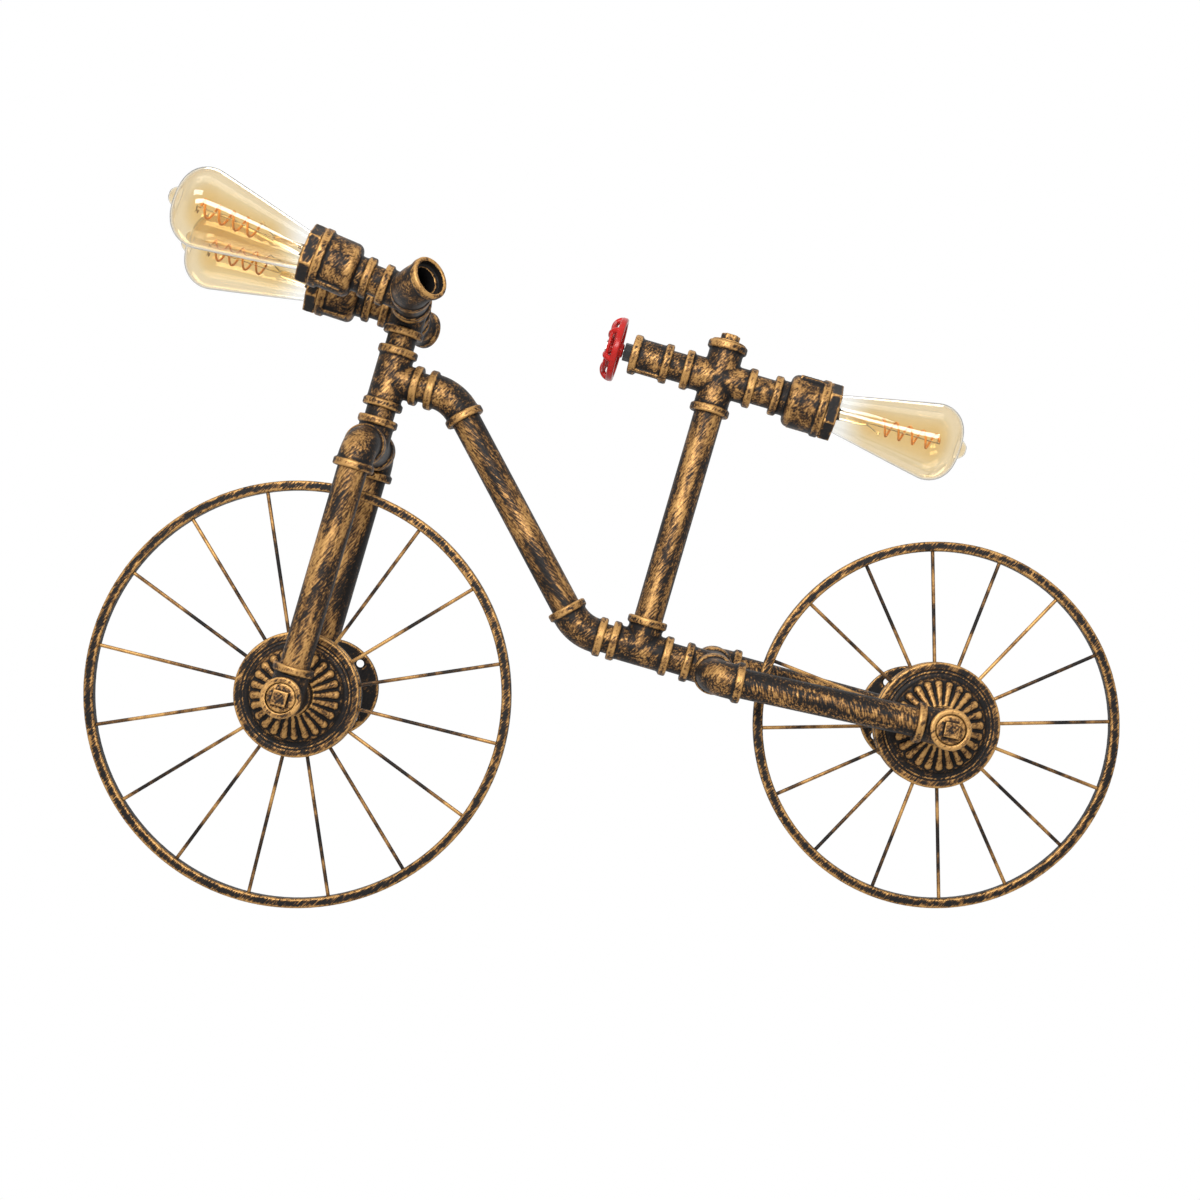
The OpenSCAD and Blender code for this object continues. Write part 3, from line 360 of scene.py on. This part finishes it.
# Distance within which CAD points are joined, in metres, and the strength of one round of smoothing
WELD = 1e-6
SMOOTHING = 0.5
# Reach of a ray that finds a bore and its start above the surface, in millimetres, and the painted shade it
# adds there
HOLLOW_REACH = 40.0
HOLLOW_START = 0.5
BORE_SHADE = 1.6


def cast_copy(node, voxel, rounds):
    """A CAD node's shape rebuilt from cells of a given size, in millimetres, and rounded over."""
    piece = bpy.data.objects.new("cast_" + node, nodes[node].data.copy())
    bpy.context.scene.collection.objects.link(piece)
    select_only(piece)
    bpy.ops.object.mode_set(mode="EDIT")
    bpy.ops.mesh.select_all(action="SELECT")
    bpy.ops.mesh.remove_doubles(threshold=WELD)
    bpy.ops.object.mode_set(mode="OBJECT")
    remesh = piece.modifiers.new("cast", "REMESH")
    remesh.mode = "VOXEL"
    remesh.voxel_size = voxel * MM
    remesh.use_smooth_shade = True
    smooth = piece.modifiers.new("round", "SMOOTH")
    smooth.factor = SMOOTHING
    smooth.iterations = rounds
    apply_modifiers(piece)
    bpy.ops.object.shade_smooth()
    return piece


def mark_wear(piece, iterations, full_mm):
    """Stores how far each point stands proud of its surroundings, so that paint can rub off on edges."""
    mesh = piece.data
    sharp = points_of(mesh)
    soften = piece.modifiers.new("soften", "SMOOTH")
    soften.factor = SMOOTHING
    soften.iterations = iterations
    shape = piece.evaluated_get(bpy.context.evaluated_depsgraph_get())
    soft = points_of(shape.data)
    piece.modifiers.remove(soften)
    normals = np.zeros(len(mesh.vertices) * 3)
    mesh.vertex_normals.foreach_get("vector", normals)
    proud = ((sharp - soft) * normals.reshape(-1, 3)).sum(1) / (full_mm * MM)
    layer = mesh.attributes.new("wear_and_bore_shade", "FLOAT", "POINT")
    layer.data.foreach_set("value", np.clip(proud, -1, 1).astype(np.float32))


def paint_bore_shade(piece):
    """Paints shade into the piece's own bore: surfaces that look into it lose their gold."""
    mesh = piece.data
    tree = BVHTree.FromPolygons([v.co for v in mesh.vertices], [p.vertices for p in mesh.polygons])
    layer = mesh.attributes["wear_and_bore_shade"].data
    for vertex, mark in zip(mesh.vertices, layer):
        start = vertex.co + vertex.normal * HOLLOW_START * MM
        if tree.ray_cast(start, vertex.normal, HOLLOW_REACH * MM)[0] is not None:
            mark.value -= BORE_SHADE


CAST_FITTINGS = (
    "fork_end_tees", "fork_elbows", "fork_crown_tee", "head_tee", "handlebar_tee", "lamp_tees",
    "near_grip_elbow", "far_grip_elbow", "near_lamp_cup", "far_lamp_cup", "rear_lamp_cup",
    "upper_elbow", "lower_elbow", "bottom_tee", "seat_cross", "switch_coupling",
    "rear_tee", "stay_elbows", "stay_end_tees", "axle_plugs", "seat_plug",
)
OPEN_FITTINGS = ("near_grip_elbow", "far_grip_elbow")
PLUGS = ("axle_plugs", "seat_plug")
for node in CAST_FITTINGS:
    fitting = cast_copy(node, voxel=0.8, rounds=1)
    mark_wear(fitting, iterations=50, full_mm=0.8)
    if node in OPEN_FITTINGS:
        paint_bore_shade(fitting)
    paint = plug_bronze if node in PLUGS else cast_bronze
    finish_piece(fitting, "frame", "brushed_bronze", paint, node)

for node in ("cup_bushes", "front_wall_flange", "rear_wall_flange"):
    fitting = cast_copy(node, voxel=0.9, rounds=2)
    mark_wear(fitting, iterations=14, full_mm=0.25)
    finish_piece(fitting, "frame", "dark_bronze", shaded_bronze, node)

for wheel in ("front", "rear"):
    rim = cast_copy(wheel + "_rim", voxel=0.9, rounds=1)
    mark_wear(rim, iterations=12, full_mm=0.25)
    finish_piece(rim, wheel + "_wheel", "brushed_bronze", rim_bronze, wheel + "_rim")
    node = wheel + "_hub_discs"
    discs = cast_copy(node, voxel=0.74, rounds=1)
    mark_wear(discs, iterations=30, full_mm=0.5)
    finish_piece(discs, wheel + "_wheel", "brushed_bronze", disc_bronze, node)

handwheel = cast_copy("handwheel", voxel=0.45, rounds=2)
finish_piece(handwheel, "handwheel", "red_paint", red_enamel, "handwheel")


# Bulbs: glass, inner stem and spiral filament, turned about the lamp axis

# Outlines of the neck, the drawn tip and the inner stem, as radius and height in millimetres
NECK_RINGS = [(13.85, -9.5), (14.3, -7.0), (17.4, 8.0), (21.5, 28.0), (25.6, 48.0), (29.0, 65.0)]
TIP_RINGS = [
    (9.0, 104.9), (7.8, 106.0), (6.6, 107.6), (5.4, 109.0), (3.8, 110.1), (1.9, 110.45), (0.4, BULB_TIP)]
STEM_RINGS = [
    (9.5, -8.4), (8.6, -6.0), (6.0, -1.0), (4.2, 6.0), (3.6, 14.0), (3.5, 20.0), (3.0, 24.0), (2.4, STEM_TOP)]
# Depth of the CAD bulb's tip that counts as its end, in metres
TIP_BAND = 1e-5


def turned_shell(name, rings, sides):
    """A round shell drawn up ring by ring from its first (radius, height), in millimetres."""
    radius, height = rings[0]
    bpy.ops.object.select_all(action="DESELECT")
    bpy.ops.mesh.primitive_circle_add(vertices=sides, radius=radius * MM, location=(0, 0, height * MM))
    piece = bpy.context.object
    piece.name = name
    select_only(piece)
    bpy.ops.object.transform_apply(location=True, rotation=True, scale=True)
    bpy.ops.object.mode_set(mode="EDIT")
    bpy.ops.mesh.select_all(action="SELECT")
    for next_radius, next_height in rings[1:]:
        bpy.ops.mesh.extrude_region_move(
            TRANSFORM_OT_translate={"value": (0, 0, (next_height - height) * MM)})
        ratio = next_radius / radius
        bpy.ops.transform.resize(value=(ratio, ratio, 1), center_override=(0, 0, next_height * MM))
        radius, height = next_radius, next_height
    bpy.ops.mesh.edge_face_add()
    bpy.ops.mesh.select_all(action="SELECT")
    bpy.ops.mesh.normals_make_consistent(inside=False)
    bpy.ops.object.mode_set(mode="OBJECT")
    bpy.ops.object.shade_smooth()
    return piece


def mark_tint(piece, low, high):
    """Stores how far along the lamp axis each point lies, from the clear neck to the tinted dome."""
    heights = points_of(piece.data)[:, 2] / MM
    layer = piece.data.attributes.new("tint", "FLOAT", "POINT")
    layer.data.foreach_set("value", np.clip((heights - low) / (high - low), 0, 1).astype(np.float32))


def lamp_place(lamp, direction):
    """Puts a lamp's own axis, with the bush face at zero, where the CAD bulb is."""
    points = points_of(nodes[lamp + "_bulb_glass"].data)
    axis = Vector(direction).normalized()
    reach = points @ np.array(axis)
    tip = Vector(points[reach > reach.max() - TIP_BAND].mean(0))
    place = axis.to_track_quat("Z", "X").to_matrix().to_4x4()
    place.translation = tip - axis * BULB_TIP * MM
    return place


def bulb_rings():
    """Outline of the bulb from its neck round its shoulder to its drawn tip."""
    radius, height = SHOULDER_CENTRE
    shoulder = []
    for turn in range(-SHOULDER_STEP, 90, SHOULDER_STEP):
        angle = math.radians(turn)
        shoulder.append((radius + BULB_SHOULDER * math.cos(angle), height + BULB_SHOULDER * math.sin(angle)))
    return NECK_RINGS + shoulder + TIP_RINGS


def spiral_filament(name):
    """A coil of wire about the lamp axis, closed at both ends."""
    turn = 360 * COIL_TURNS
    bpy.ops.object.select_all(action="DESELECT")
    bpy.ops.mesh.primitive_circle_add(
        vertices=COIL_SIDES, radius=COIL_WIRE * MM, location=(COIL_RADIUS * MM, 0, COIL_START * MM),
        rotation=(math.radians(90), 0, 0))
    piece = bpy.context.object
    piece.name = name
    select_only(piece)
    bpy.ops.object.transform_apply(location=True, rotation=True, scale=True)
    screw = piece.modifiers.new("coil", "SCREW")
    screw.angle = math.radians(turn)
    screw.screw_offset = COIL_PITCH * COIL_TURNS * MM
    screw.steps = screw.render_steps = round(COIL_STEPS * COIL_TURNS)
    screw.use_smooth_shade = True
    apply_modifiers(piece)
    bpy.ops.object.mode_set(mode="EDIT")
    bpy.ops.mesh.select_all(action="SELECT")
    bpy.ops.mesh.fill_holes(sides=COIL_SIDES)
    bpy.ops.mesh.normals_make_consistent(inside=False)
    bpy.ops.object.mode_set(mode="OBJECT")
    bpy.ops.object.shade_smooth()
    return piece


LAMPS = {lamp: joints[lamp + "_bulb_out"]["axis"] for lamp in ("near", "far", "rear")}
for lamp, direction in LAMPS.items():
    body = lamp + "_bulb"
    place = lamp_place(lamp, direction)
    glass = turned_shell(lamp + "_glass_envelope", bulb_rings(), BULB_SIDES)
    wall = glass.modifiers.new("wall", "SOLIDIFY")
    wall.thickness = GLASS_WALL * MM
    wall.offset = -1
    apply_modifiers(glass)
    mark_tint(glass, CLEAR_NECK, TINTED_FROM)
    glass.data.transform(place)
    finish_piece(glass, body, "amber_glass", amber_glass, lamp + "_bulb_glass")
    stem = turned_shell(lamp + "_glass_stem", STEM_RINGS, STEM_SIDES)
    mark_tint(stem, STEM_FOOT, STEM_TOP)
    stem.data.transform(place)
    finish_piece(stem, body, "amber_glass", stem_glass)
    coil = spiral_filament(lamp + "_spiral")
    coil.data.transform(place)
    finish_piece(coil, body, "filament", filament_coat, lamp + "_filament")


# CAD nodes that keep their shape

KEPT_NODES = {
    "fork_legs": upright_bronze,
    "seat_tube": upright_bronze,
    "down_tube": slope_bronze,
    "chain_stays": stay_bronze,
    "standoff_pipes": axle_bronze,
    "front_axle": axle_bronze,
    "rear_axle": axle_bronze,
    "pipe_nipples": cast_bronze,
    "front_spokes": spoke_bronze,
    "rear_spokes": spoke_bronze,
    "front_hub_sleeve": shaded_bronze,
    "rear_hub_sleeve": shaded_bronze,
    "lamp_holders": holder_ceramic,
    "switch_body": black_moulding,
    "switch_bush": black_moulding,
    "switch_spindle": plated_steel,
    "handwheel_nut": plated_steel,
}
for lamp in LAMPS:
    KEPT_NODES[lamp + "_bulb_cap"] = drawn_brass
    KEPT_NODES[lamp + "_filament_supports"] = support_wire
for node, material in KEPT_NODES.items():
    nodes[node].data.materials.clear()
    nodes[node].data.materials.append(material)


# Studio: pale floor, white surround, soft lamps and a front camera

# Floor, and middle and half widths of the paper on it, in metres, and the share of them that stays plain
FLOOR_SIZE = 3.0
FLOOR_PLACE = (0.27, -1.15, -0.62)
PAPER_MIDDLE = (0, 0.6, 0)
PAPER_REACH = (1.3, 0.85, 1)
PAPER_PLAIN = 0.35
PAPER = (0.74, 0.74, 0.74)
# Strength of the surround as a light, and the point that the lamps are turned to
SURROUND_LIGHT = 0.28
LAMP_MIDDLE = (0.27, -0.15, 0.08)


def white_to_eye(tree):
    """One for a ray from the eye, from a reflection or through glass, and zero for scattered light."""
    rays = add_node(tree, "ShaderNodeLightPath")
    seen = rays.outputs["Is Camera Ray"]
    for kind in ("Is Glossy Ray", "Is Transmission Ray"):
        seen = combine(tree, "MAXIMUM", seen, rays.outputs[kind])
    return seen


def floor_finish():
    """Pale paper under the lamp that fades to the white surround before the floor's edges."""
    material = plain_finish("floor_paper", PAPER, roughness=0.8, shade=0.98)
    tree = material.node_tree
    link = tree.links.new
    place = add_node(tree, "ShaderNodeMapping", vector_type="TEXTURE")
    place.inputs["Location"].default_value = PAPER_MIDDLE
    place.inputs["Scale"].default_value = PAPER_REACH
    link(add_node(tree, "ShaderNodeTexCoord").outputs["Object"], place.inputs["Vector"])
    reach = add_node(tree, "ShaderNodeVectorMath", operation="LENGTH")
    link(place.outputs["Vector"], reach.inputs[0])
    outward = spread(tree, reach.outputs["Value"], PAPER_PLAIN, 1, 0, 1)
    fade = combine(tree, "MULTIPLY", outward, white_to_eye(tree))
    white = add_node(tree, "ShaderNodeEmission")
    mix = add_node(tree, "ShaderNodeMixShader")
    link(fade, mix.inputs["Fac"])
    link(tree.nodes["Principled BSDF"].outputs["BSDF"], mix.inputs[1])
    link(white.outputs["Emission"], mix.inputs[2])
    link(mix.outputs["Shader"], tree.nodes["Material Output"].inputs["Surface"])
    return material


def pale_floor():
    bpy.ops.object.select_all(action="DESELECT")
    bpy.ops.mesh.primitive_plane_add(size=FLOOR_SIZE, location=FLOOR_PLACE)
    floor = bpy.context.object
    floor.name = "floor"
    floor.data.materials.append(floor_finish())


def soft_lamp(name, place, size, power, mirrored=True):
    """A lamp with a wide face, turned to the middle of the part, that gloss shows only if mirrored."""
    light = bpy.data.lights.new(name, "AREA")
    light.shape = "RECTANGLE"
    light.size, light.size_y = size
    light.energy = power
    lamp = bpy.data.objects.new(name, light)
    bpy.context.scene.collection.objects.link(lamp)
    lamp.visible_glossy = mirrored
    lamp.location = place
    lamp.rotation_euler = (Vector(LAMP_MIDDLE) - Vector(place)).to_track_quat("-Z", "Y").to_euler()


def white_surround():
    """A surround that is white to the eye and in reflections, and a dimmer light on the part."""
    world = bpy.data.worlds.new("white_surround")
    bpy.context.scene.world = world
    world.use_nodes = True
    tree = world.node_tree
    background = tree.nodes["Background"]
    background.inputs["Color"].default_value = (1, 1, 1, 1)
    strength = spread(tree, white_to_eye(tree), 0, 1, SURROUND_LIGHT, 1)
    tree.links.new(strength, background.inputs["Strength"])


def front_camera():
    """A level camera that shows the frame plane at the scale and place named at the top."""
    camera = bpy.data.objects.new("front_camera", bpy.data.cameras.new("front_camera"))
    bpy.context.scene.collection.objects.link(camera)
    bpy.context.scene.camera = camera
    plane = joints["front_wheel_spin"]["pos_m"][1]
    right = (SIGHT_PIXEL[0] - ORIGIN_PIXEL[0]) / PIXELS_PER_MM * MM
    height = (ORIGIN_PIXEL[1] - SIGHT_PIXEL[1]) / PIXELS_PER_MM * MM
    camera.location = (right, plane - CAMERA_DISTANCE, height)
    camera.rotation_euler = (math.radians(90), 0, 0)
    camera.data.sensor_width = SENSOR_MM
    camera.data.lens = SENSOR_MM * CAMERA_DISTANCE / MM * PIXELS_PER_MM / PICTURE
    camera.data.shift_x = 0.5 - SIGHT_PIXEL[0] / PICTURE
    camera.data.shift_y = SIGHT_PIXEL[1] / PICTURE - 0.5
    camera.data.dof.use_dof = False


pale_floor()
white_surround()
soft_lamp("key", place=(0.22, -1.7, 0.52), size=(1.15, 0.32), power=18)
soft_lamp("fill", place=(-0.2, -1.6, 1.2), size=(0.9, 0.4), power=11)
soft_lamp("top", place=(0.3, -0.5, 1.6), size=(1.6, 0.6), power=10, mirrored=False)
soft_lamp("back", place=(0.3, 1.3, 1.6), size=(1.6, 0.6), power=14, mirrored=False)
front_camera()
bpy.context.scene.view_settings.view_transform = "Standard"
